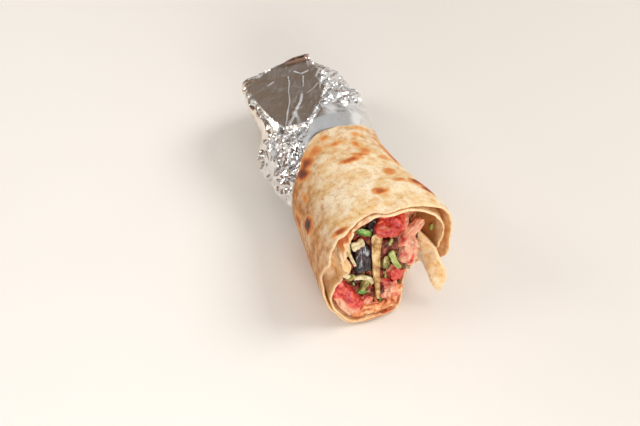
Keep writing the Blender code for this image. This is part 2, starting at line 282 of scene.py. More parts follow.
studio = {
    "lampDistance": 1.3,
    "lamps": (   # name, azimuth from +X, elevation, width, height, watts, colour
        ("keyLight", -12.0, 52.0, 0.60, 0.60, 8.4, (1.0, 0.99, 0.975)),
        ("fillLight", -98.0, 24.0, 0.70, 0.40, 8.8, (1.0, 0.985, 0.96)),
        ("leftLight", 168.0, 40.0, 0.40, 0.40, 3.8, (1.0, 0.99, 0.975)),
    ),
    "panels": (   # azimuth, elevation, degrees from there to where it is full and where it ends, colour
        (20, 15, 12, 24, (250, 249, 247)), (42, 32, 8, 17, (190, 188, 185)),
        (66, 52, 14, 24, (196, 198, 200)), (66, 27, 3, 10, (240, 238, 236)), (84, 28, 9, 14, (124, 107, 92)),
    ),
    "floorSize": 3.0, "floorDrop": 0.0002,
}


def heading(azimuth, elevation):
    (east, north), (flat, up) = cosSin(azimuth), cosSin(elevation)
    return Vector((east * flat, north * flat, up))


def placeFacing(name, data, back, distance, aim=(0, 0, 0)):   # looks at aim from the side of back
    made = bpy.data.objects.new(name, data)
    made.location = Vector(aim) + back * distance
    made.rotation_euler = back.to_track_quat("Z", "Y").to_euler()
    scene.collection.objects.link(made)
    return made


def makeCamera():
    data = bpy.data.cameras.new("camera")
    data.lens, data.sensor_width, data.clip_start = view["lens"], 36.0, 0.01
    back = heading(view["azimuth"], view["elevation"])
    scene.camera = placeFacing("camera", data, back, view["distance"], view["aim"])


def makeLights():
    for name, azimuth, elevation, width, height, watts, colour in studio["lamps"]:
        data = bpy.data.lights.new(name, "AREA")
        data.shape = "RECTANGLE"
        data.size, data.size_y, data.energy, data.color = width, height, watts, colour
        placeFacing(name, data, heading(azimuth, elevation), studio["lampDistance"])


def makeSky():
    world = bpy.data.worlds.new("studio")
    world.use_nodes = True
    scene.world = world
    start = Wire(world.node_tree)
    direction = start.node("TexCoord", None, None, "Generated")
    side, height = (start.node("SeparateXYZ", None, {0: direction}, axis) for axis in "XZ")
    walls = start.node("TexNoise", None, {"Vector": direction, "Scale": 3.4, "Detail": 1.0, "Roughness": 0.4})
    room = walls.above(0.50, 0.55).blend((62, 55, 50), (238, 237, 235))
    horizon = side.above(0.35, 0.75).blend((136, 100, 78), (246, 244, 241))
    sky = height.above(0.36, 0.14).blend(room, horizon)
    for azimuth, elevation, full, end, colour in studio["panels"]:
        near = start.node("VectorMath", {"operation": "DOT_PRODUCT"},
                          {0: direction, 1: tuple(heading(azimuth, elevation))}, "Value")
        sky = near.above(cosSin(end)[0], cosSin(full)[0]).blend(sky, colour)
    world.node_tree.links.new(sky.socket, world.node_tree.nodes["Background"].inputs["Color"])


def makeFloor():
    mesh = bmesh.new()
    bmesh.ops.create_grid(mesh, x_segments=8, y_segments=8, size=studio["floorSize"])
    data = bpy.data.meshes.new("floor")
    mesh.to_mesh(data)
    mesh.free()
    floor = bpy.data.objects.new("floor", data)
    floor.location.z = -studio["floorDrop"]
    scene.collection.objects.link(floor)
    start, connect = startMaterial("paleFloor", Roughness=0.45)
    side = start.node("SeparateXYZ", None, {0: start.node("TexCoord", None, None, "Object")}, "X")
    # painted shade: the floor darkens towards +X, where the key light falls, with a random mottle
    rightShadeAndMottle = side.above(-0.16, 0.16) + start.cloud(60.0, 2.0) * 0.1
    data.materials.append(connect(Base_Color=rightShadeAndMottle.blend((246, 241, 234), (226, 219, 211))))


bread = {
    "thickness": 2.2, "edgeRound": 1.1, "pitch": 2.7, "foilRoom": 1.2,
    "turn": 750.0, "back": 9.0, "innerStep": (30.0, 65.0), "outerStep": (390.0, 425.0),
    "pocketDepth": 13.0, "pocketSwing": 30.0,
    # the tongue of dough that hangs out: its root falls by the drop, its length from side to peak to end
    "tongueRoot": 163.0, "tongueDrop": 8.0, "tongueLength": 25.0,
    "tongueSide": 14.0, "tonguePeak": 9.0, "tongueEnd": 38.0, "tongueBlend": 12.0,
    # edges, as humps
    "lip": 168.0,
    "lipHumps": ((-4, (80, 40)), (3, (125, 25)), (5, (-105, 35)), (-14, (-42, 26)), (-5, (10, 30))),
    "innerRise": 1.5, "innerLip": ((-5.8, (110, 19, 4)),),
    "outerLip": ((1.6, (-6, 17)), (-6.6, (121, 27, 6))),
    "collar": 75.5, "collarHumps": ((24.5, (190, 61, 4)), (-6, (10, 35))),
    # the lip sinks at the lower right; the foil draws the left flank in behind the outer turn
    "sunk": ((3.6, (-52, 24, 3), (146, 166)),), "squeeze": ((6.5, (192, 30, 3), (62, 46)),),
    "rimSauce": ((1, (80, 30), (16, 5)), (1, (248, 17, 4), (10, 3))),   # sauce on the rim, down from the lip
    "lean": ((118, 146), (164, 150)),   # stations that the inner edge leans in over the pocket between
    # how far the inner turn is pushed in from the outer turn at the lip
    "tuckAngles": (0, 40, 56, 72, 112, 136, 147, 156, 163, 171, 178, 186, 192, 199, 212, 325, 345, 360),
    "tuckDepths": (2.8, 3.4, 1.2, -0.9, -0.9, -0.9, 1.6, 4.2, 7.6, 9.6, 8.2, 5.2, 2.2, 0.2, -0.9, -0.6,
                   1.4, 2.8),
    # spacing of the vertices: degrees round the sheet, and mm back from the lip, dense where it shows
    "sideColumns": (0, 0.25, 0.7, 1.3, 2.1, 3.0),
    "columnRuns": ((4, 62, 1.3), (62, 150, 2.4), (150, 240, 0.85), (240, 420, 2.4), (420, 747, 1.1)),
    "edgeRows": (0, 0.12, 0.35, 0.7, 1.1, 1.6, 2.3, 3.1),
    "rowRuns": ((4, 20, 1.0), (20, 34, 0.75), (34, 46, 1.5), (46, 90, 1.75)), "fullReach": 99.0,
}

# phi, s, half length round the roll, half length along it, tilt, strength
toastSpots = (
    (159.5, 134.5, 5.0, 6.8, 20, 1.85), (86, 145.5, 4.6, 3.4, 0, 1.15), (93, 110.8, 7.0, 2.8, 0, 1.15),
    (81, 107.5, 6.5, 1.8, -22, 0.8), (78, 96.5, 2.4, 4.6, 10, 0.75), (97, 92, 4.6, 2.1, 5, 0.7),
    (71, 86, 3.4, 3.2, 0, 0.55), (105, 83.5, 3.6, 2.6, 20, 0.7), (92, 91.5, 3.4, 2.0, 0, 0.6),
    (58, 79, 5.0, 2.6, 0, 0.5), (73, 104, 3.4, 5.5, 0, 0.6), (133, 95, 6.0, 5.0, 30, 1.25),
    (142, 100, 4.6, 7.5, 30, 1.5), (121, 91, 9.0, 5.0, 15, 0.62), (65, 138.5, 4.4, 2.8, 0, 0.6),
    (52, 141, 5.2, 4.2, -20, 1.3), (46, 147, 4.0, 5.0, 0, 1.4), (46, 108, 2.6, 9.0, 12, 1.0),
    (66, 128, 4.0, 4.4, 0, 0.7), (44, 97, 2.8, 6.5, 0, 0.85), (46, 88, 2.4, 4.0, 0, 0.7),
    (150, 116, 3.0, 5.0, 0, 0.6), (178, 118, 5.0, 8.0, 0, 1.0), (200, 140, 7.0, 5.0, 20, 1.1),
    (222, 112, 6.0, 8.0, 0, 1.1), (15, 120, 6.0, 8.0, 10, 1.1), (5, 150, 5.0, 4.0, 0, 0.9),
    (28, 95, 4.0, 7.0, 0, 1.0), (-15, 105, 7.0, 6.0, 0, 1.1), (-35, 135, 6.0, 8.0, 0, 1.1),
    (250, 150, 7.0, 6.0, 0, 1.2), (285, 120, 8.0, 8.0, 0, 1.2), (131, 161.5, 5.6, 1.9, -8, 1.15),
    (35, 160, 3.4, 2.2, 0, 0.7), (104, 160, 5.0, 1.6, 0, 0.4),
    (60, 112, 5.0, 4.0, 0, 0.5), (88, 128, 9.0, 4.0, 10, 0.18), (112, 120, 8.0, 5.0, 0, 0.2),
)


def tuckAt(phi):
    shifts = (-5, -2.5, 0, 2.5, 5)
    tucks = (np.interp((phi + shift) % 360, bread["tuckAngles"], bread["tuckDepths"]) for shift in shifts)
    return sum(tucks) / len(shifts)


def sunkAt(s, phi):
    return humps(phi, bread["sunk"], s)


def foilSqueeze(s, phi):
    return humps(phi, bread["squeeze"], s)


def leanAt(s):
    return math.prod(ease(s, *span) for span in bread["lean"])


def lipStation(phi):
    return bread["lip"] + humps(phi, bread["lipHumps"])


def collarStation(phi):
    return bread["collar"] + humps(phi, bread["collarHumps"])


def outerPitch(s):
    return bread["pitch"] + bread["foilRoom"] * ease(s, 126, 110)


def turnInset(theta, s):
    return (outerPitch(s) * (1 - ease(theta, *bread["outerStep"]))
            + bread["pitch"] * (1 - ease(theta, *bread["innerStep"])))


def tongueLength(theta):
    peak, end = bread["tonguePeak"], bread["tongueEnd"]
    rise = bread["tongueSide"] + (bread["tongueLength"] - bread["tongueSide"]) * theta / peak
    fall = bread["tongueLength"] * np.clip((end - theta) / (end - peak), 0, 1) ** 1.5
    return np.where(theta < peak, rise, fall)


def tongueHang(theta):   # the direction that it hangs in
    side = 0.35 * ease(theta, 14, 0) - 0.08
    hang = np.stack([side, side * 0 - 0.36, side * 0 - 0.9], -1)
    return hang / np.linalg.norm(hang, axis=-1, keepdims=True)


def tongueRoot(theta):
    return bread["tongueRoot"] - bread["tongueDrop"] * ease(theta, 0, bread["tongueEnd"])


def onTongue(theta):
    return theta < bread["tongueEnd"] + bread["tongueBlend"]


def breadLip(theta):
    phi = -theta
    lip = lipStation(phi)
    blend = ease(theta, bread["tongueEnd"], bread["tongueEnd"] + bread["tongueBlend"])
    tongue = (tongueRoot(theta) + tongueLength(theta)) * (1 - blend) + lip * blend
    dip = 4 * hump(phi, -18, 24) * ease(theta, 300, 340)
    inner = lip + bread["innerRise"] - dip + humps(phi, bread["innerLip"])
    outer = lip + humps(phi, bread["outerLip"])
    return np.where(onTongue(theta), tongue, np.where(theta < bread["outerStep"][0], inner, outer))


def breadBack(theta):
    out = ease(theta, 330, 394)
    return bread["back"] * (1 - out) + collarStation(-theta) * out


def breadPoint(theta, q, extra):   # outer face of the sheet; extra inset carries the small unevenness
    phi = -theta
    hanging = np.where(onTongue(theta), np.maximum(0, q - tongueRoot(theta)), 0)
    s = q - hanging
    within = np.where(theta < bread["outerStep"][0], 1.0, 0.0)
    lean = ease(theta, 48, 0) * leanAt(s)
    unrolled = np.stack(np.broadcast_arrays(0.62 * theta, 0.3 * s, 0.0), -1)
    pleats = 1.6 - 7.5 * np.abs(rippled(unrolled, 8.0, 16)) + 1.8 * rippled(unrolled, 2.8, 17)
    tucked = tuckAt(phi) * ease(s, 147, 167) + pleats * hump(phi, 164, 26, 4) * ease(s, 142, 158)
    inset = turnInset(theta, s) + bread["pocketDepth"] * lean + extra + sunkAt(s, phi)
    inset = inset + within * (tucked + foilSqueeze(s, phi))
    return rollPoint(s, phi + bread["pocketSwing"] * lean, inset) + tongueHang(theta) * hanging[..., None]


def spaced(first, runs):
    return np.concatenate([first, *(np.arange(*run) for run in runs)])


def toasted(phi, s, place):   # how browned the outside is, 0 pale and 2 burnt
    ragged = 0.34 * rippled(place, 4.2, 3, 3) + 0.10 * rippled(place, 1.5, 4)
    total = np.zeros(np.shape(phi))
    radius = rollRadius(s, phi)
    for spotPhi, spotS, across, down, tilt, strength in toastSpots:
        u = np.radians(turned(phi, spotPhi)) * radius
        v = s - spotS
        c, n = cosSin(tilt)
        far = np.hypot((u * c + v * n) / across, (v * c - u * n) / down) + ragged
        total = np.maximum(total, strength * ease(far, 1.45, 0.1))
    return total


def breadGrid(columns):   # stations down each column, with its lip and its back edge
    rim = cylinderPlace(-columns, np.where(columns < bread["outerStep"][0], 0.0, 60.0))
    wave = 1.1 * rippled(rim, 11, 1) + 0.6 * rippled(rim, 3.4, 2)
    wave = wave + 3.6 * hump(columns, 196, 42, 4) * rippled(rim, 5, 14)
    lip = breadLip(columns) + wave
    back = breadBack(columns) + 0.8 * rippled(cylinderPlace(-columns, 0 * columns + 7), 9, 5)
    depths = spaced(bread["edgeRows"], bread["rowRuns"])
    scale = np.minimum(1.0, (lip - back) / bread["fullReach"])
    rows = lip[:, None] - depths * scale[:, None]
    ends = back[:, None] + np.array(bread["edgeRows"][::-1])
    middle = rows[:, -1:] + (ends[:, :1] - rows[:, -1:]) * np.array([0.34, 0.67])
    return np.concatenate([rows, middle, ends], 1), lip[:, None], back[:, None]


def sheetFaces(shape):   # two faces that share the border's vertices; the inner one keeps the rest of its own
    border = np.ones(shape, bool)
    border[1:-1, 1:-1] = False
    outerId = np.arange(border.size).reshape(shape)
    innerId = outerId.copy()
    innerId[~border] = border.size + np.arange(np.count_nonzero(~border))
    return np.concatenate([quads(outerId.T), quads(innerId.T)[:, ::-1]]), ~border


def buildBread():
    side = bread["sideColumns"]
    columns = np.append(spaced(side, bread["columnRuns"]), bread["turn"] - np.array(side[::-1]))
    q, lip, back = breadGrid(columns)
    theta = columns[:, None] + 0 * q
    phi = -theta
    onTop = np.where(theta > bread["outerStep"][0], 1.0, 0.0)
    fromLip, fromBack = lip - q, q - back
    fromSide = np.minimum(theta, bread["turn"] - theta) * 0.55
    border = np.minimum(np.minimum(fromLip, fromBack), fromSide)
    place = cylinderPlace(phi, q)
    inPlace = cylinderPlace(phi, q + 300 * (1 - onTop))

    # the sheet's outer face, with its unevenness, folds, blisters and the crumple of its inner lip
    waves = 0.75 * rippled(place, 17, 6) + 0.28 * rippled(place, 6, 7)   # shared, so the turns never cross
    foldLine = q + 0.05 * turned(phi, 150) + 1.5 * rippled(inPlace, 9, 8)
    folds = 0.85 * bell(foldLine, 121, 1.6) * hump(phi, 158, 26, 4)
    wavy = 0.55 * rippled(cylinderPlace(phi, 0.25 * q), 6, 15) * ease(q, 150, 166)
    unrolled = np.stack([0.62 * theta + 0.25 * q, 0.35 * q, 0 * q], -1)
    crumple = (4.2 * np.abs(rippled(unrolled, 4.2, 18)) - 0.7) * hump(phi, 155, 32, 6)
    wavy = wavy + crumple * ease(q, 150, 160) * (1 - onTop)
    brown = toasted(phi, q, inPlace)
    blister = 0.45 * rippled(inPlace, 3.4, 9, 2) * (0.5 + 0.5 * onTop)
    sunken = 0.28 * np.minimum(brown, 1.0) * onTop
    outerFace = breadPoint(theta, q, waves + folds + wavy - 0.25 * blister - sunken)

    # thickness, rounded off at the edges
    normals = gridNormals(outerFace)
    normals = -normals if np.mean((normals * rollPoint(q, phi, 0))[..., 0::2]) < 0 else normals
    full = np.sqrt(np.clip(1 - (1 - np.clip(border / bread["edgeRound"], 0, 1)) ** 2, 0, 1))
    uneven = 1 + 0.16 * rippled(inPlace, 5, 10)
    thick = bread["thickness"] * uneven * full * (0.62 + 0.38 * ease(fromLip, 0, 8))
    centre = outerFace - normals * (bread["thickness"] / 2)
    outside = centre + normals * thick[..., None] / 2
    inside = centre - normals * thick[..., None] / 2
    inside += normals * (0.12 * rippled(inPlace, 2.6, 11, 2) * full)[..., None]
    for face in (outside, inside):
        face[..., 2] = np.maximum(face[..., 2], 0.0)
    faces, own = sheetFaces(q.shape)

    def bothFaces(outerValues, innerValues):
        return np.concatenate([outerValues.ravel(), innerValues[own]])

    # paler band along every edge: the pale dough of the edge, and partly a painted highlight along the lip
    edgePaleAndHighlight = 1 - ease(border, 0.5, 2.2)
    stain = ease(rippled(inPlace, 8, 12, 2), -0.25, 0.5)
    seen = ease(q, 118, 150)
    flap = 1 - ease(theta, 40, 75)   # the inner edge that folds out over the pocket
    scorch = hump(theta, 226, 9, 4) * bell(fromLip, 5, 5, 4)
    rimSauce = humps(theta, bread["rimSauce"], fromLip)
    # browner on the left flank, partly toasting and partly painted shade on that side; also in random patches
    # and towards the back
    leftShadeAndTan = ease(phi % 360, 112, 160) * ease(phi % 360, 340, 300)
    tan = leftShadeAndTan + 0.32 * ease(rippled(inPlace, 13, 13, 2), 0.0, 0.6) + 0.55 * ease(q, 122, 86)
    innerOil = seen * (0.12 + 0.25 * stain + 0.9 * rimSauce * (0.4 + 0.6 * stain)) * (1 - 0.85 * flap)
    return makePiece("parathaSheet", np.concatenate([outside.reshape(-1, 3), inside[own]]), faces.tolist(), {
        "toast": bothFaces(brown * onTop + (0.16 * stain + 0.75 * scorch) * (1 - onTop), 0.10 * stain),
        "lipEdge": bothFaces(edgePaleAndHighlight, edgePaleAndHighlight),
        "inner": bothFaces(0 * q, 0.75 - 0.75 * flap),
        "oil": bothFaces((1 - onTop) * (0.10 + 0.5 * stain * rimSauce) * seen, innerOil),
        # deep is painted shade: a darker warm orange that comes in deeper inside the roll, on the inner
        # turn's outside and on the inner faces
        "deep": bothFaces((1 - onTop) * ease(fromLip, 10, 30) * 0.3, ease(fromLip, 2, 15) * (1 - 0.9 * flap)),
        "tan": bothFaces(onTop * tan, 0 * q),
    })


# place, red, green, blue
toastColours = (
    (0.0, 238, 196, 138), (0.16, 234, 172, 104), (0.30, 224, 140, 72), (0.46, 198, 104, 50),
    (0.62, 150, 72, 38), (0.8, 104, 50, 30), (1.0, 66, 34, 24),
)


def breadMaterial():
    start, connect = startMaterial("griddledBread", Roughness=0.55, Specular_IOR_Level=0.4)
    names = ("toast", "lipEdge", "inner", "oil", "deep", "tan")
    toast, lipEdge, inner, oil, deep, tan = (start.attribute(name) for name in names)
    broad = start.cloud(11.0, 3.0, 0.6)
    patch = start.cloud(4.2, 4.0, 0.62)
    fine = start.cloud(1.1, 4.0, 0.7)
    dough = broad.above(0.38, 0.62).blend((255, 237, 204), (242, 206, 150))
    dough = (patch.above(0.46, 0.70) * 0.6).blend(dough, (224, 156, 72))
    dough = (patch.above(0.49, 0.32) * 0.5).blend(dough, (252, 232, 194))
    dough = (fine.above(0.52, 0.68) * 0.45).blend(dough, (204, 150, 90))
    specks = start.cloud(2.3, 1.0, 0.5).above(0.67, 0.75) * patch.above(0.40, 0.56)
    dough = (specks * 0.75).blend(dough, (196, 116, 56))
    # brown tint of tan: toasting, with painted shade on the left flank
    browned = (tan * (0.75 + (broad - 0.5) * 1.1 + (patch - 0.5) * 0.7)).above(0.0, 1.2)
    dough = browned.blend(dough, patch.above(0.25, 0.75).blend((206, 136, 60), (172, 100, 40)))
    near = toast.above(0.02, 0.5)
    golden = toast + (patch - 0.5) * 0.7 * near + (fine - 0.5) * 0.4 * near
    colour = toast.above(0.02, 0.42).blend(dough, (golden / 1.9).ramp(toastColours))
    # pale dough along the edges, partly a painted highlight, less on toasted parts
    edgePaleAndHighlightShare = lipEdge * (1 - toast.above(0.5, 1.2)) * 0.75
    colour = edgePaleAndHighlightShare.blend(colour, fine.above(0.35, 0.7).blend((252, 228, 188), (238, 192, 136)))
    colour = (inner * 0.75).blend(colour, patch.above(0.35, 0.7).blend((248, 204, 138), (230, 168, 98)))
    colour = (oil * patch.above(0.30, 0.62)).above(0.05, 0.75).blend(colour, (200, 88, 40))
    # painted shade: darker warm orange deeper inside the roll
    colour = (deep * 0.7).blend(colour, (255, 164, 78))
    relief = start.bump(fine * 0.5 + patch * 0.6 + broad * 0.6, 0.6)
    relief = start.bump(start.cloud(0.55, 2.0, 0.6), 0.14, relief)
    return connect(Base_Color=colour, Normal=relief, Roughness=0.62 - oil * 0.25 - toast * 0.06)


foil = {
    "tuck": 9.0, "notch": 66.0, "tuckInset": 2.55, "freeInset": 0.4, "innerInset": 3.3,
    "end": -8.0, "capMiddle": 16.0, "capDepth": 30.0, "capRows": 31,
    "capStart": 3.0, "capHumps": ((10, (150, 22)), (4, (30, 25))),
    # where the loose foil stands out or is drawn in, where it is pleated and where a cream reflection of the
    # floor is painted on
    "swells": ((10.0, (147.5, 14), (66, 30)), (-6.5, (192, 26, 3), (52, 40)), (-3.0, (38, 30), (40, 18)),
               (5.5, (184, 24, 3), (44, 56), (100, 84))), "spike": 3.5,
    "pleated": ((1.0, (178, 42, 6), (56, 45)),), "warm": ((0.8, (190, 46, 3), (64, 40)),),
    "flapHeight": 47.3, "flapSlope": 0.07, "flapRise": 0.115,
    # spacing of the vertices: degrees round the foil, and mm down from its mouth
    "columnRuns": ((0, 208, 0.72), (208, 358, 2.6)),
    "edgeRows": (0, 0.15, 0.4, 0.8), "rowRuns": ((1.3, 100, 0.58),),
    "insideColumn": 7.5, "insideRows": 22, "insideEnd": 7.0, "sharpAngle": 11.0,
    # the crumple is laid out on the foil unrolled flat: mm for each degree, and where its rows start, in mm
    "unroll": 0.58, "unrollStart": 130.0,
    # nets of flat faces: cell width and height in mm, seed, height in mm, turn in degrees
    "nets": {
        "big": ((9.5, 8.5, 11, 1.7, 0),), "middle": ((6.4, 3.6, 12, 0.95, 20),),
        "small": ((3.6, 1.7, 13, 0.22, -25),), "long": ((6.0, 18.0, 15, 0.30, 0),),
        "folds": ((11.0, 2.4, 18, 1.0, 44), (10.0, 2.2, 19, 0.9, -40)),
        "pleat": ((14.0, 2.6, 14, 0.9, 0), (12.0, 1.2, 17, 0.3, 0)),
        "wisp": ((8.0, 1.0, 21, 0.12, 55), (7.0, 1.1, 22, 0.10, -62)),
    },
}

# outline of the flap that lies flat on top, and the edge it turns down, as x and s
flapOutline = (
    (-33.8, 15.5), (-26.4, 11.5), (-19.2, 8.4), (-9.7, 2), (-5.8, -2.4), (13.2, -2.4), (11.2, 11),
    (11.3, 21.3), (8.3, 35), (1.7, 48.9), (-6.8, 59.5), (-13.3, 64.6), (-24.9, 64.7), (-29.2, 52.4),
    (-32.1, 32.8), (-33.8, 15.5),
)
foilStrip = ((9, 31), (8.3, 36), (1.7, 49.9), (-6.8, 60.5), (-13.3, 66), (-19, 76))

# sharp folds on top: their line in x and s, height and half width
foilCreases = (
    (((-7.5, 16.6), (-9.3, 24.4), (-12.1, 31.1), (-14.4, 41.2), (-17.1, 46.8), (-23.7, 62.5)), 0.42, 0.6),
    (((0.9, 19.9), (-1.2, 26), (-2.5, 30)), 0.3, 0.6), (((-6, 37), (-8.5, 42.3), (-13, 49)), 0.5, 1.5),
    (((-13, 49), (-17, 55.7), (-22.3, 63.6)), 0.8, 1.2), (((-4, 38), (2, 35), (6, 31)), 0.22, 0.6),
    (((-2, 13), (1, 17), (5, 16)), 0.5, 0.9), (((-21, 20), (-17, 18)), 0.3, 0.7),
    (((4, 50), (10, 50), (17, 50), (25, 50), (31, 46)), 1.6, 2.4), (((17, 50), (26, 54), (29, 60)), 1.2, 1.6),
    (((8, 50), (14, 55), (15, 61)), 0.45, 1.6), (((10, 58), (20, 60), (26, 66)), 0.3, 1.2),
)


def lineDistance(x, y, line):
    # distance from a line of points, the side of it, and whether a closed line goes round the place
    nearest, side, inside = np.full(np.shape(x), 1e9), np.zeros(np.shape(x)), np.zeros(np.shape(x), bool)
    for (ax, ay), (bx, by) in zip(line, line[1:]):
        run = math.hypot(bx - ax, by - ay)
        t = np.clip(((x - ax) * (bx - ax) + (y - ay) * (by - ay)) / run**2, 0, 1)
        far = np.hypot(x - ax - t * (bx - ax), y - ay - t * (by - ay))
        cross = ((by - ay) * (x - ax) - (bx - ax) * (y - ay)) / run
        side = np.where(far < nearest, np.sign(cross), side)
        nearest = np.minimum(nearest, far)
        inside ^= ((ay > y) != (by > y)) & (x < (bx - ax) * (y - ay) / ((by - ay) or 1e-9) + ax)
    return nearest, side, inside


def sideOf(x, y, line):   # signed distance from a line of points, positive on its right
    nearest, side, _ = lineDistance(x, y, line)
    return nearest * side


def insideBy(x, y, outline):   # distance inside a closed outline, negative outside
    nearest, _, inside = lineDistance(x, y, outline)
    return np.where(inside, nearest, -nearest)


def foilMouth(phi):
    notch = ease(np.abs(turned(phi, -50)), 14, 24)
    return foil["notch"] * (1 - notch) + (collarStation(phi) + foil["tuck"]) * notch


def capStation(phi):   # where the closed end begins
    return foil["capStart"] + humps(phi, foil["capHumps"])


def foilPlace(phi, down):   # station and share of the closed end, down mm from the mouth's edge
    s = foilMouth(phi) - down
    start = capStation(phi)
    return np.maximum(s, start), np.clip((start - s) / foil["capDepth"], 0, 1)


def capTip():
    return np.array([0.0, lengthwise(foil["end"]), foil["capMiddle"]])


def foilBase(phi, down, push=0.0):   # the smooth form of the foil; push moves it out
    s, cap = foilPlace(phi, down)
    collar = collarStation(phi)
    tucked = ease(s, collar - 13, collar - 2)
    spike = foil["spike"] * hump(phi, 36, 6) * bell(s, 39, 4)
    free = foil["freeInset"] * (1 - hump(phi, -90, 40, 4)) - humps(phi, foil["swells"], s) - spike
    radius = rollRadius(s, phi) - foil["tuckInset"] * tucked - free * (1 - tucked)
    c, n = cosSin(phi)
    level = foil["flapHeight"] + foil["flapRise"] * np.minimum(s, foilMouth(phi) - down) - axisHeight(s)
    plane = level / np.maximum(n - foil["flapSlope"] * c, 0.05)
    onFlap = ease(insideBy(plane * c, s, flapOutline), -1.2, 0.3) * ease(phi, 50, 62) * ease(phi, 153, 149)
    point = polarPoint(s, phi, radius + (plane - radius) * onFlap + push)
    share, tip = cap[..., None], capTip()   # the closed end draws in to the tip
    capped = point + (tip - point) * share ** 1.7
    capped[..., 1] = point[..., 1] + (tip[1] - point[..., 1]) * cosSin(90 * cap)[1]
    return np.where(share > 0, capped, point)


def facetNet(width, height, cellWide, cellHigh, seed):   # an uneven net of triangles over a rectangle
    rng = np.random.default_rng(seed)
    across, down = int(width / cellWide) + 2, int(height / cellHigh) + 2
    u, v = np.meshgrid(np.arange(across + 1), np.arange(down + 1), indexing="ij")
    jitter = rng.uniform(-0.42, 0.42, (2, *u.shape))
    points = np.stack([(u - 0.5 + jitter[0]) * cellWide, (v - 0.5 + jitter[1]) * cellHigh], -1).reshape(-1, 2)
    a, d, c, b = quads(np.arange(len(points)).reshape(u.shape)).T
    flip = rng.random(len(a))[:, None] < 0.5
    one = np.where(flip, np.stack([a, b, c], -1), np.stack([a, b, d], -1))
    two = np.where(flip, np.stack([a, c, d], -1), np.stack([b, c, d], -1))
    return points, np.concatenate([one, two]), rng.uniform(-1, 1, len(points))


def facetWeights(points, triangles, u, v):   # corners of the triangle that holds each place, and their shares
    tree = BVHTree.FromPolygons([(x, y, 0.0) for x, y in points.tolist()], triangles.tolist())
    down, places = Vector((0, 0, -1)), list(zip(u.tolist(), v.tolist()))
    found = [tree.ray_cast((x, y, 1.0), down)[2] for x, y in places]
    found = [tree.find_nearest((x, y, 0.0))[2] if f is None else f for f, (x, y) in zip(found, places)]
    corners = triangles[np.array(found)]
    p = points[corners[:, 0]]
    (qx, qy), (rx, ry) = (points[corners[:, 1]] - p).T, (points[corners[:, 2]] - p).T
    dx, dy = u - p[:, 0], v - p[:, 1]
    area = qx * ry - rx * qy
    area = np.where(np.abs(area) < 1e-9, 1e-9, area)
    second, third = (dx * ry - rx * dy) / area, (qx * dy - dx * qy) / area
    return corners, np.stack([1 - second - third, second, third], -1)


def netShape(u, v, cellWide, cellHigh, seed, height, turn):
    # how far a net of flat faces lifts each unrolled place, and where the net is without that height
    c, n = cosSin(turn)
    across, along = u * c + v * n, v * c - u * n
    low = np.array([across.min(), along.min()]) - 2
    points, triangles, push = facetNet(np.ptp(across) + 4, np.ptp(along) + 4, cellWide, cellHigh, seed)
    corners, shares = facetWeights(points, triangles, across - low[0], along - low[1])
    x, y = (points + low).T
    netPhi = (x * c - y * n) / foil["unroll"]
    netDown = np.maximum(foilMouth(netPhi) - foil["unrollStart"] + (y * c + x * n), 0.0)
    shapes = (foilBase(netPhi, netDown, out) for out in (push * height, 0.0))
    lifted, plain = ((shape[corners] * shares[..., None]).sum(1) for shape in shapes)
    return lifted - plain, plain


def padded(values, count):   # flat, with noughts up to that count
    return np.append(np.ravel(values), np.zeros(count - np.size(values)))


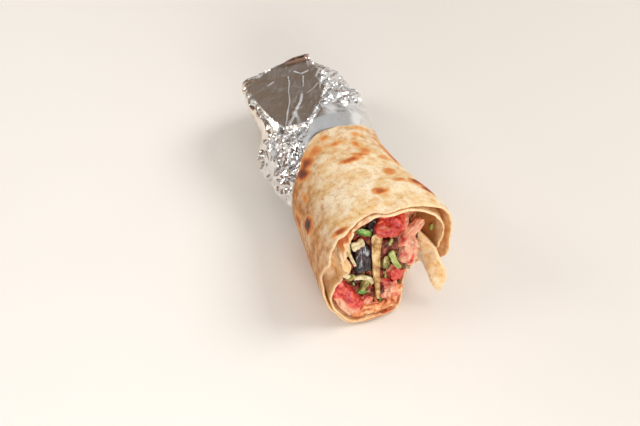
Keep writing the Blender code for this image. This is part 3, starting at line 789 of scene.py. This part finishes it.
def buildFoil():
    columns = spaced((), foil["columnRuns"])
    mouth, reach = foilMouth(columns), foilMouth(columns) - capStation(columns)
    steps = spaced(foil["edgeRows"], foil["rowRuns"])
    down = steps * (reach / steps[-1])[:, None]
    capSteps = np.linspace(0, 1, foil["capRows"])[1:-1] ** 1.15 * foil["capDepth"]
    down = np.concatenate([down, reach[:, None] + capSteps], 1)
    phi = columns[:, None] + 0 * down
    smooth = foilBase(phi, down)
    cap = foilPlace(phi, down)[1]
    x, y = smooth[..., 0], mouth[:, None] - down
    collar = collarStation(phi)
    loose = ease(y, collar + 6, collar - 4)   # 0 where the bread presses the foil flat
    offFloor = 1 - hump(phi, -90, 42, 4)
    offSeam = ease(np.minimum(phi, 358 - phi), 0, 10)
    calm = loose * offFloor * offSeam * ease(cap, 0.95, 0.55)
    strip = sideOf(x, y, foilStrip)

    # how much of each kind of crumple there is
    flap = ease(insideBy(x, y, flapOutline), -1.0, 0.5) * ease(phi, 55, 75) * ease(phi, 153, 150)
    sleek = ease(strip, 1.0, 3.0) * ease(y, 50, 54) * ease(phi, 8, 20) * ease(phi, 134, 128)
    rough = (1 - 0.97 * sleek) * (1 - flap) * calm
    pleats = humps(phi, foil["pleated"], y)
    unrolled = (phi * foil["unroll"]).ravel(), (down - mouth[:, None] + foil["unrollStart"]).ravel()
    made = {name: [netShape(*unrolled, *row) for row in rows] for name, rows in foil["nets"].items()}
    net = {name: sum(lift for lift, _ in shapes).reshape(smooth.shape) for name, shapes in made.items()}
    planar = made["big"][0][1].reshape(smooth.shape)
    quiet = 1 - 0.93 * pleats[..., None]
    flatShare = (rough * ease(cap, 0.7, 0.3))[..., None] * (0.3 + 0.7 * quiet)
    fine = sum(net[name] for name in ("middle", "small", "folds", "wisp"))
    crumpled = net["big"] * (0.35 + 0.65 * quiet) + fine * quiet
    onFlap = net["long"] * 0.9 + net["middle"] * 0.06 + net["folds"] * 0.05 + net["wisp"] * 0.3
    point = smooth + (planar - smooth) * 0.8 * flatShare + crumpled * rough[..., None]
    point = point + net["pleat"] * (pleats * calm * (1 - flap))[..., None] + onFlap * (flap * calm)[..., None]

    # folds and edges on top
    rise = 2.4 * bell(x, 5.5, 9, 4) * bell(y, -1.5, 4.5, 4)
    fade = 0.75 + 0.6 * rippled(np.stack([x, y, 0 * x], -1), 4.0, 50)
    for line, height, width in foilCreases:
        rise = rise + height * fade * np.clip(1 - np.abs(sideOf(x, y, line)) / width, 0, 1)
    rise = rise - 2.6 * ease(strip, -1.6, 1.8) * ease(strip, 7.0, 2.4) * (1 - loose)
    point[..., 2] = np.maximum(point[..., 2] + rise * ease(phi, 25, 40) * ease(phi, 156, 150), 0.0)

    ids = np.arange(phi.size).reshape(phi.shape)
    faces = quads(closedRound(ids)).tolist() + fan(ids[:, -1], phi.size)
    # a coarse inside closes the foil
    inner = np.arange(0.0, 360.0, foil["insideColumn"])[:, None]
    innerS = foilMouth(inner) - np.linspace(0, 1, foil["insideRows"]) * (foilMouth(inner) - foil["insideEnd"])
    body = rollPoint(innerS, inner, foil["innerInset"] + foilSqueeze(innerS, inner))
    innerId = phi.size + 1 + np.arange(innerS.size).reshape(innerS.shape)
    faces += quads(closedRound(innerId).T).tolist() + [innerId[:, -1].tolist()]
    near = np.round(columns / foil["insideColumn"]).astype(int) % len(inner)
    edge, rim = ids[:, 0].tolist(), innerId[near, 0].tolist()
    for i, after in enumerate(np.roll(np.arange(len(columns)), -1)):
        faces.append([edge[i], edge[after], rim[i]])
        if near[i] != near[after]:
            faces.append([edge[after], rim[after], rim[i]])
    points = np.concatenate([point.reshape(-1, 3), capTip()[None], body.reshape(-1, 3)])
    # painted reflection: the cream of the floor on the left flank
    creamReflectionShare = humps(phi, foil["warm"], y)
    # painted reflection: a brown tint at the far end of the top, standing in for a brown reflection
    paintedBrownReflection = ease(y, 9, 5) * ease(y, -6, -3) * bell(x, 2, 10, 4) * ease(phi, 40, 55) * ease(phi, 145, 130)
    piece = makePiece("foilWrap", points, faces, {name: padded(values, len(points)) for name, values in
                                                  (("warm", creamReflectionShare), ("browned", paintedBrownReflection))})
    piece.data.set_sharp_from_angle(angle=math.radians(foil["sharpAngle"]))
    return piece


def foilMaterial():
    start, connect = startMaterial("kitchenFoil", Metallic=1.0, Roughness=0.16)
    place = start.node("TexCoord", None, None, "Object")
    streaks = start.node("VectorMath", {"operation": "MULTIPLY"}, {0: place, 1: (900.0, 260.0, 500.0)})
    grain = start.cloud(1000.0, 2.0, 0.5, streaks)
    patch = start.cloud(12.0, 2.0)
    colour = patch.blend((248, 246, 244), (214, 212, 210))
    # painted reflection: the cream of the floor, painted on the left flank
    colour = start.attribute("warm").blend(colour, (244, 228, 206))
    # painted brown reflection at the far end of the top
    colour = start.attribute("browned").blend(colour, (164, 128, 108))
    return connect(Base_Color=colour, Normal=start.bump(start.cloud(1.4, 3.0, 0.6), 0.035),
                   Roughness=0.13 + patch.above(0.3, 0.7) * 0.10 + grain * 0.06)


filling = {
    "around": 260, "frontRows": 70, "clearance": 0.4, "sink": 2.2, "hollow": 1.6, "back": 20, "backGap": 1.2,
    "lumpDetail": 5, "crumbDetail": 3, "stripSteps": 90, "stripRing": 44, "lumpSeed": 70, "crumbSeed": 500,
    "front": 170, "frontSlope": 0.34, "foot": 8,   # the front's station at the foot, and how it leans back
    "underLip": 4.5, "dome": 25.2,   # how far it stays behind the lip, and how far its middle may stand out
    # crumbs are aimed at this range of x and height, from a y and a lift in mm, and in one direction
    "sprinkleX": (-32, 24), "sprinkleZ": (4, 62),
    "sprinkleFrom": (-140, 34), "sprinkleWay": (0.0, 0.76, -0.65),
    # where the bread folds in, so that the filling keeps off it
    "hollows": ((2.7, (-12, 50, 6)), (1.2, (5, 42, 4), (110, 140)),
                (1.6, (-14, 30, 4), (144, 154)), (1.0, (164, 26, 4))),
    "lumpiness": ((2.4, 7.5, 20, 2), (1.3, 3.0, 21, 2), (0.35, 1.2, 22, 1)),   # height, size, seed, octaves
}

# name, centre (x, s, z), half sizes along, across and through, direction of the length, spin, look
lumps = (
    ("chicken_top", (5.6, 153.6, 50.8), (9.8, 6.2, 7.6), (1, 0.1, -0.05), 20, "chicken"),
    ("chicken_shred", (16.2, 158.0, 46.2), (12.0, 3.2, 3.2), (14.9, -4.4, 13), 0, "chicken"),
    ("chicken_right", (14.6, 158.2, 34.0), (9.6, 5.6, 5.6), (6.2, -5.1, 15), 30, "chicken"),
    ("chicken_dark", (4.6, 156.6, 39.6), (6.2, 5.2, 4.8), (1, 0, 0.3), 0, "darkMeat"),
    ("chicken_low", (5.2, 163.2, 22.2), (6.0, 4.0, 4.2), (1, 0, -1), 10, "chicken"),
    ("chicken_front", (0.7, 166.4, 13.4), (6.8, 5.6, 5.0), (0.3, 0, 1), 0, "chicken"),
    ("chicken_lump", (-12.2, 167.6, 12.0), (3.5, 3.0, 2.9), (1, 0, 1), 0, "chicken"),
    ("chicken_big", (-24.8, 167.0, 14.8), (12.6, 6.9, 5.8), (13.1, 7.1, -20.8), 12, "chicken"),
    ("dark_piece", (-11.7, 157.2, 37.2), (9.6, 5.6, 4.4), (-1.1, 6.7, -14), 0, "charred"),
    ("red_piece", (-22.2, 158.4, 35.4), (5.8, 4.1, 3.7), (1, 0, -0.3), 0, "tomato"),
    ("green_leaf", (-10.2, 156.3, 52.4), (4.9, 2.6, 1.3), (6.7, 1.3, -3.9), 25, "herb"),
    ("pepper_low", (-12.2, 164.8, 21.6), (4.8, 2.6, 2.0), (-5, 0.5, -4.5), 0, "pepper"),
    ("", (9.6, 149.4, 57.0), (12.0, 6.0, 5.0), (1, 0, 0), 0, "chicken"),
    ("", (0.8, 161.0, 29.6), (3.9, 2.4, 2.0), (0.3, -3.4, 10), 0, "pepper"),
    ("", (-14.2, 166.2, 17.6), (2.6, 1.6, 1.3), (1, 0, -0.5), 0, "herb"),
    ("", (-21.0, 163.8, 28.2), (3.4, 1.7, 1.5), (1, 0, 0.2), 0, "pepper"),
    ("", (-27.4, 162.8, 26.4), (4.2, 2.6, 2.4), (1, 0, 0.3), 0, "tomato"),
    ("", (-15.6, 160.4, 31.4), (3.4, 2.8, 2.6), (1, 0, 1), 0, "charred"),
    ("", (-3.2, 152.6, 52.2), (4.8, 5.0, 4.0), (1, 0, 0), 0, "charred"),
    ("", (-11.4, 152.6, 46.8), (6.0, 3.6, 3.0), (1, 0, 0), 0, "tomato"),
    ("", (3.4, 157.6, 53.0), (1.5, 1.3, 1.2), (1, 0, 0), 0, "darkMeat"),
    ("", (-12.6, 170.2, 7.6), (4.2, 3.0, 2.6), (1, 0, -0.1), 0, "crust"),
    ("", (-6.8, 170.8, 7.4), (3.8, 3.0, 2.8), (1, 0, 0.1), 0, "crust"),
    ("", (-1.6, 170.4, 8.6), (3.9, 3.2, 2.9), (1, 0, 0.3), 0, "crust"),
    ("", (2.8, 169.0, 10.8), (3.4, 2.8, 2.8), (0.6, 0, 1), 0, "crust"),
    ("", (5.2, 167.2, 14.4), (2.8, 2.3, 2.8), (0.5, 0, 1), 0, "crust"),
    ("", (-17.8, 171.2, 6.8), (3.8, 2.4, 1.9), (1, 0, 0), 0, "crust"),
    ("", (-5.6, 168.0, 17.6), (3.6, 2.6, 2.8), (1, 0, 1), 0, "darkMeat"),
    ("", (31.0, 151.2, 38.6), (1.9, 1.5, 1.2), (0.4, 0.4, 1), 0, "fleck"),
)

# name, ends (x, s, z), half width at both ends, half thickness, bow, look
strips = (
    ("onion_strip", (-4.0, 158.6, 52.0), (-7.0, 171.8, 15.2), (3.5, 1.1), 1.1, 1.0, "onion"),
    ("onion_slice", (-18.2, 158.0, 45.2), (-10.8, 157.6, 47.0), (3.4, 3.1), 0.9, 0.3, "paleOnion"),
    ("onion_strand", (-20.4, 158.2, 48.6), (-17.3, 162.8, 35.0), (1.1, 0.8), 0.8, 0.7, "paleOnion"),
    ("green_stick", (3.0, 162.0, 39.4), (6.8, 165.8, 28.6), (1.8, 1.5), 1.1, 0.4, "stick"),
    ("", (2.4, 160.4, 42.2), (4.4, 159.2, 46.0), (0.8, 0.8), 0.7, 0.2, "stick"),
    ("", (-18.4, 164.6, 28.0), (-8.4, 166.4, 22.2), (1.7, 1.5), 1.0, -2.6, "paleOnion"),
    ("", (-26.6, 163.4, 34.6), (-21.4, 165.2, 30.4), (1.9, 1.3), 0.9, 0.5, "paleOnion"),
    ("", (-26.8, 159.6, 40.4), (-20.2, 159.0, 42.4), (1.3, 1.1), 0.8, 0.2, "paleOnion"),
)

# name, look, how many, least and greatest half size in mm, stretch, seed
scatters = (
    ("meatCrumbs", "crust", 50, 0.6, 1.7, 2.2, 1), ("darkCrumbs", "darkMeat", 60, 0.8, 2.2, 1.8, 2),
    ("charBits", "charred", 24, 0.7, 1.8, 1.8, 3), ("onionBits", "pepper", 30, 0.7, 1.8, 2.4, 4),
    ("herbBits", "herb", 10, 0.5, 1.3, 2.0, 5), ("chiliBits", "tomato", 34, 0.7, 1.8, 1.7, 6),
)

# relief of each look: level, then waves of height, size, seed, octaves, 1 along the fibres, 1 ridged
meatRelief = (
    0.3025, (-0.825, 4.6, 30, 2, 1, 1), (0.3, 1.5, 31, 2, 1, 0),
    (1.0, 2.6, 32, 2, 0, 0), (1.3, 6.5, 29, 2, 0, 0),
)
reliefs = {
    "chicken": meatRelief, "darkMeat": meatRelief,
    "charred": (-0.4, (1.1, 2.6, 33, 1, 1, 1), (0.22, 0.9, 34, 1, 1, 0)),
    "tomato": (0, (0.5, 3.0, 35, 2, 0, 0), (0.3, 1.6, 36, 1, 1, 0)),
    "crust": (0.3, (0.9, 2.6, 37, 3, 0, 0)),
    "other": (0, (0.3, 1.8, 37, 2, 1, 0), (0.35, 3.4, 38, 1, 0, 0)),
}
redder = {"chicken_low": 0.35, "chicken_right": -0.3, "chicken_shred": -0.3}   # added to the red glaze


def fillingFloor(s):
    return outerPitch(s) + bread["thickness"] + filling["clearance"]


def fillingLimit(s, phi):   # how far from the axis the filling may reach
    pocket = bread["pocketDepth"] * leanAt(s) * hump(phi, 5, 42, 4) + humps(phi, filling["hollows"], s)
    tucked = np.maximum(tuckAt(phi), 0) * ease(s, 145, 165) + sunkAt(s, phi)
    return rollRadius(s, phi) - fillingFloor(s) - pocket - tucked - filling["backGap"] * ease(s, 60, 20)


def keptInside(points):   # moves points towards the axis where they would touch the bread
    points = np.array(points, float)
    s = lengthwise(points[..., 1])
    axis = axisHeight(s)
    rise = points[..., 2] - axis
    reach = np.hypot(points[..., 0], rise)
    phi = np.degrees(np.arctan2(rise, points[..., 0]))
    share = np.minimum(1, fillingLimit(s, phi) / np.maximum(reach, 1e-6))
    points[..., 0] *= share
    points[..., 2] = np.maximum(axis + rise * share, fillingFloor(s))
    return points


def buildCore():   # the sauced mass that the pieces sit in
    side = np.concatenate([[0], np.linspace(0, 0.75, 12), np.linspace(0.78, 1.0, 16)])
    front = np.linspace(1, 0, filling["frontRows"])[1:-1] ** 0.9
    forward = np.append(side, np.ones(len(front)))
    share = np.concatenate([[0.5], np.ones(len(side) - 1), front])
    angle = np.linspace(0, 360, filling["around"], endpoint=False)[:, None] + 0 * forward
    c, n = cosSin(angle)
    height = axisHeight(filling["front"])
    for _ in range(4):   # the front leans back with height
        lean = filling["front"] - filling["frontSlope"] * (height - filling["foot"])
        lean = np.minimum(lean, lipStation(angle) - filling["underLip"] + filling["dome"] * (1 - share))
        s = filling["back"] + (lean - filling["back"]) * forward
        radius = share * (fillingLimit(s, angle) - foilSqueeze(s, angle) - 0.2)
        height = np.maximum(axisHeight(s) + radius * n, fillingFloor(s))
    points = np.stack([radius * c, lengthwise(s), height], -1)
    relief = sum(high * rippled(points, *shape) for high, *shape in filling["lumpiness"])
    fromMiddle = np.hypot(points[..., 0] + 2, points[..., 2] - 34)
    sink = filling["sink"] + filling["hollow"] * bell(fromMiddle, 0, 20)
    points[..., 1] += ease(forward, 0.93, 1.0) * (sink - relief)
    points = keptInside(points)
    ids = np.arange(angle.size).reshape(angle.shape)
    faces = quads(closedRound(ids)).tolist() + fan(ids[:, -1], angle.size) + [ids[:, 0].tolist()]
    allPoints = np.concatenate([points.reshape(-1, 3), points[:, -1].mean(0)[None]])
    return makePiece("fillingCore", allPoints, faces, {"mood": np.append(rippled(points, 5.0, 23, 2), 0)})


def chunkShape(unit, rng, sides=12, sharp=9.0):   # how far out a rounded block with random flat sides is
    faces = rng.normal(size=(sides, 3))
    faces /= np.linalg.norm(faces, axis=1, keepdims=True)
    faces = np.concatenate([faces, np.eye(3), -np.eye(3)])
    depth = np.concatenate([rng.uniform(0.72, 1.1, sides), np.full(6, 1.0)])
    facing = np.maximum(unit @ faces.T, 0) / depth
    return ((facing**sharp).sum(1) ** (-1 / sharp))[:, None]


def unitBall(subdivisions):
    mesh = bmesh.new()
    bmesh.ops.create_icosphere(mesh, subdivisions=subdivisions, radius=1.0)
    unit = np.array([vert.co for vert in mesh.verts])
    faces = [[vert.index for vert in face.verts] for face in mesh.faces]
    mesh.free()
    return unit, faces


def frameAlong(direction, spin):   # rows: along the length, across and through
    run = np.array([direction[0], -direction[1], direction[2]], float)
    run /= np.linalg.norm(run)
    side = np.cross((0.0, 1.0, 0.0), run)
    side /= np.linalg.norm(side)
    out = np.cross(run, side)
    c, n = cosSin(spin)
    return np.array([run, side * c + out * n, out * c - side * n])


def rollPlace(x, s, z):
    return np.array([x, lengthwise(s), z])


def finishedBit(name, number, look, kind, points, faces, glaze, strand):
    label = name or "extra" + look[0].upper() + look[1:] + str(number)
    piece = makePiece(label + kind, points.reshape(-1, 3), faces,
                      {"glaze": glaze.ravel(), "strand": strand.reshape(-1, 3) * mm})
    return finished(piece, *finishes[look], name)


def buildLump(number, name, centre, half, direction, spin, look):
    unit, faces = unitBall(filling["lumpDetail"])
    rng = np.random.default_rng(filling["lumpSeed"] + number)
    middle, turn = rollPlace(*centre), frameAlong(direction, spin)
    uneven = 1 + 0.10 * rippled(unit * 1.6 + number, 1.0)
    local = unit * chunkShape(unit, rng) * uneven[:, None] * np.array(half)
    points = middle + local @ turn
    outward = (unit / np.array(half)) @ turn
    outward /= np.linalg.norm(outward, axis=1, keepdims=True)
    flat = points - np.outer((points - middle) @ turn[0], turn[0]) * 0.8   # noise here runs along the fibres
    relief, *waves = reliefs.get(look, reliefs["other"])
    for height, size, seed, octaves, fibres, ridged in waves:
        wave = rippled(flat if fibres else points, size, seed, octaves)
        relief = relief + height * (np.abs(wave) if ridged else wave)
    calm = 0.5 if name == "chicken_shred" else min(1.0, min(half) / 2)
    points = points + outward * relief[:, None] * calm
    points = points if look == "fleck" else keptInside(points)
    glaze = 0.5 + 0.6 * rippled(points, 6.0, 39, 2) + 0.3 * rippled(flat, 2.0, 40) + redder.get(name, 0)
    x, y = local[:, 0], local[:, 1]
    if name == "chicken_big":   # paler across its middle
        pale = ease(y + 0.15 * x, -6, 1.5) * ease(x, 12, 7) * ease(x, -9.5, -4)
        glaze = 0.98 - 0.95 * pale + 0.12 * rippled(points, 3.4, 41, 2)
    elif name == "chicken_top":
        glaze = glaze + 0.45 - 0.8 * ease(x, 4, 9)
    return finishedBit(name, number, look, "Piece", points, faces, glaze, flat)


def buildStrip(number, name, start, end, halfWidths, halfThick, bow, look):
    first, last = rollPlace(*start), rollPlace(*end)
    run = (last - first) / np.linalg.norm(last - first)
    side = np.cross(run, (0.0, -1.0, 0.0))
    side /= np.linalg.norm(side)
    out = np.cross(side, run)
    steps, ring = filling["stripSteps"], filling["stripRing"]
    t, none = np.linspace(0, 1, steps), np.zeros(steps)
    ca, sa = cosSin(np.linspace(0, 360, ring, endpoint=False))
    rounded = np.sqrt(np.clip(1 - np.abs(2 * t - 1) ** 16, 0.01, 1))
    wide = (halfWidths[0] + (halfWidths[1] - halfWidths[0]) * t**0.8) * rounded
    wide = wide * (1 + 0.14 * rippled(np.stack([t * 30, none + 5 * number, none], -1), 6.0, 41))
    sway = bow * np.sin(np.pi * t) + 0.7 * rippled(np.stack([t * 14, none + 9 * number, none], -1), 4.0, 42)
    lift = 0.6 * rippled(np.stack([t * 14, none, none + 7 * number], -1), 4.0, 43)
    path = first + np.outer(t, last - first) + np.outer(sway, side) + np.outer(lift, out)
    u, w = (np.sign(v) * np.abs(v) ** 0.8 for v in (ca, sa))
    ribs = 0.22 * cosSin(np.linspace(0, 360 * 7, ring, endpoint=False))[0] * np.abs(sa)
    curl = 0.45 * halfThick * (u**2 - 0.5) * (1 + np.sin(7 * t)[:, None])
    points = (path[:, None, :] + side * (wide[:, None] * u)[..., None]
              + out * ((w + ribs) * halfThick * rounded[:, None] + curl)[..., None])
    points = keptInside(points + out * (0.2 * rippled(points, 1.6, 44))[..., None])
    ids = np.arange(steps * ring).reshape(steps, ring)
    faces = quads(np.append(ids, ids[:, :1], 1)).tolist() + [ids[0].tolist()[::-1], ids[-1].tolist()]
    strand = points - ((points - first) @ run)[..., None] * run * 0.85
    glaze = 0.5 + 0.6 * rippled(points, 4.0, 45, 2)
    return finishedBit(name, number, look, "Slice", points, faces, glaze, strand)


def buildScatter(tree, name, look, count, small, large, stretch, seed):
    # small bits of one kind, each set where a cast from the front meets the filling
    unit, faces = unitBall(filling["crumbDetail"])
    rng = np.random.default_rng(filling["crumbSeed"] + seed)
    shift = np.array(roll["shift"])
    front, lift = filling["sprinkleFrom"]
    points, allFaces, glaze = [], [], []
    while len(points) < count:
        x, z = rng.uniform(*filling["sprinkleX"]), rng.uniform(*filling["sprinkleZ"])
        start = ((x + shift[0]) * mm, front * mm, (z + lift) * mm)
        place, normal, _, _ = tree.ray_cast(start, filling["sprinkleWay"])
        if place is None:
            rng.uniform(size=2)   # a miss takes two draws more
            continue
        middle = np.array(place) / mm - shift - np.array(normal) * 0.2
        size = rng.uniform(small, large) * np.array([rng.uniform(1.0, stretch), 1.0, rng.uniform(0.35, 0.7)])
        shape = unit * chunkShape(unit, rng, 6, 14) * size
        bit = middle + shape @ np.array(Euler(rng.uniform(-3, 3, 3).tolist()).to_matrix())
        bit = keptInside(bit + 0.18 * rippled(bit, 1.2, seed)[:, None] * unit)
        allFaces += (np.array(faces) + len(points) * len(unit)).tolist()
        points.append(bit)
        glaze.append(np.full(len(unit), rng.uniform(0.1, 1.0)) + 0.2 * rippled(bit, 1.5, seed))
    points = np.concatenate(points)
    piece = makePiece(name, points, allFaces, {"glaze": np.concatenate(glaze), "strand": points * mm})
    return finished(piece, *finishes[look])


# pale and red, each as two colours, and the range of noise between the reds
meatColours = {
    "tandooriChicken": (((238, 150, 116), (250, 206, 172)), ((188, 26, 34), (240, 98, 76)), (0.38, 0.64)),
    "darkChicken": (((150, 62, 42), (182, 92, 60)), ((66, 16, 12), (126, 34, 26)), (0.35, 0.65)),
}

# slot, material name, roughness, coat, relief in mm, colour stops
plainFinishes = {
    # the lightest charred stop paints grey highlight streaks on the glossy black
    "charred": ("charred", "charredSkin", 0.08, 0.9, 0.9,
                ((0.3, 14, 9, 12), (0.5, 34, 24, 32), (0.61, 58, 38, 44), (0.74, 112, 92, 96))),
    "crust": ("filling", "spicedCrust", 0.25, 0.5, 0.7,
              ((0.3, 172, 86, 44), (0.46, 214, 120, 66), (0.6, 236, 162, 102), (0.74, 246, 206, 154))),
    "tomato": ("tomato", "cookedTomato", 0.12, 0.8, 0.5,
               ((0.3, 62, 8, 6), (0.5, 132, 20, 14), (0.7, 186, 46, 30))),
    "herb": ("herb", "freshHerb", 0.25, 0.4, 0.6,
             ((0.3, 70, 118, 44), (0.5, 128, 176, 78), (0.7, 184, 216, 136))),
    "pepper": ("pepper", "oilyPepper", 0.2, 0.6, 0.5,
               ((0.3, 84, 82, 24), (0.48, 142, 132, 58), (0.62, 186, 172, 96), (0.75, 216, 196, 136))),
    "fleck": ("pepper", "greenFleck", 0.25, 0.4, 0.3,
              ((0.3, 150, 176, 70), (0.7, 206, 218, 120))),
    "stick": ("pepper", "greenStick", 0.25, 0.4, 0.4,
              ((0.3, 128, 150, 62), (0.5, 172, 186, 100), (0.7, 212, 216, 152))),
    "onion": ("onion", "friedOnion", 0.22, 0.6, 0.6,
              ((0.28, 128, 80, 34), (0.42, 182, 132, 70), (0.55, 214, 176, 114), (0.7, 236, 210, 160))),
    "paleOnion": ("onion", "softOnion", 0.25, 0.5, 0.5,
                  ((0.3, 176, 156, 104), (0.48, 218, 202, 154), (0.66, 238, 228, 190))),
}


def sauceMaterial():
    start, connect = startMaterial("spicedSauce", Coat_Weight=0.35, Coat_Roughness=0.18)
    patch, fine = start.cloud(2.6, 4.0, 0.6), start.cloud(0.9, 3.0, 0.6)
    sauce = (patch + start.attribute("mood") * 0.35).ramp((
        (0.28, 34, 16, 8), (0.42, 84, 38, 16), (0.52, 130, 68, 30), (0.62, 180, 88, 48),
        (0.74, 206, 138, 80), (0.86, 160, 140, 72)))
    relief = start.bump(patch * 0.7 + fine * 0.5, 0.8)
    return connect(Base_Color=sauce, Normal=relief, Roughness=0.25 + fine * 0.35)


def chickenMaterial(name):
    start, connect = startMaterial(name, Coat_Weight=0.42, Coat_Roughness=0.16)
    pales, reds, redRange = meatColours[name]
    threads = start.cloud(1.0, 3.0, 0.6, start.attribute("strand", "Vector"))
    patch, fine = start.cloud(3.0, 3.0, 0.6), start.cloud(0.8, 3.0)
    coat = (start.attribute("glaze") + (threads - 0.5) * 0.5 + (patch - 0.5) * 0.4).above(0.25, 0.72)
    colour = coat.blend(threads.above(0.35, 0.65).blend(*pales), patch.above(*redRange).blend(*reds))
    spice = (threads.above(0.56, 0.70) * fine.above(0.48, 0.64)) * 0.7
    relief = start.bump(threads * 0.8 + fine * 0.5, 0.8)
    return connect(Base_Color=spice.blend(colour, (88, 30, 22)), Normal=relief, Roughness=0.24 + fine * 0.3)


def plainMaterial(name, roughness, coat, depth, stops):
    start, connect = startMaterial(name, Coat_Weight=coat, Coat_Roughness=0.12)
    threads = start.cloud(1.2, 3.0, 0.6, start.attribute("strand", "Vector"))
    patch = start.cloud(2.4, 3.0, 0.6)
    mixed = patch * 0.6 + threads * 0.4 + (start.attribute("glaze") - 0.5) * 0.4
    relief = start.bump(threads * 0.7 + patch * 0.3, depth)
    return connect(Base_Color=mixed.ramp(stops), Normal=relief, Roughness=roughness + patch * 0.15)


makeCamera()
makeLights()
makeSky()
makeFloor()
scene.view_settings.view_transform = "Standard"
print("stage ready")

finished(buildBread(), "bread", breadMaterial(), "paratha")
print("bread ready")
finished(buildFoil(), "foil", foilMaterial(), "foil")
print("foil ready")
core = finished(buildCore(), "filling", sauceMaterial(), "filling")
finishes = {"chicken": ("chicken", chickenMaterial("tandooriChicken")),
            "darkMeat": ("chicken", chickenMaterial("darkChicken"))}
for look, (slot, *settings) in plainFinishes.items():
    finishes[look] = (slot, plainMaterial(*settings))
for number, row in enumerate(lumps):
    buildLump(number, *row)
for number, row in enumerate(strips):
    buildStrip(number, *row)
coreTree = BVHTree.FromPolygons([vert.co.copy() for vert in core.data.vertices],
                                [list(face.vertices) for face in core.data.polygons])
for row in scatters:
    buildScatter(coreTree, *row)
print("filling ready")
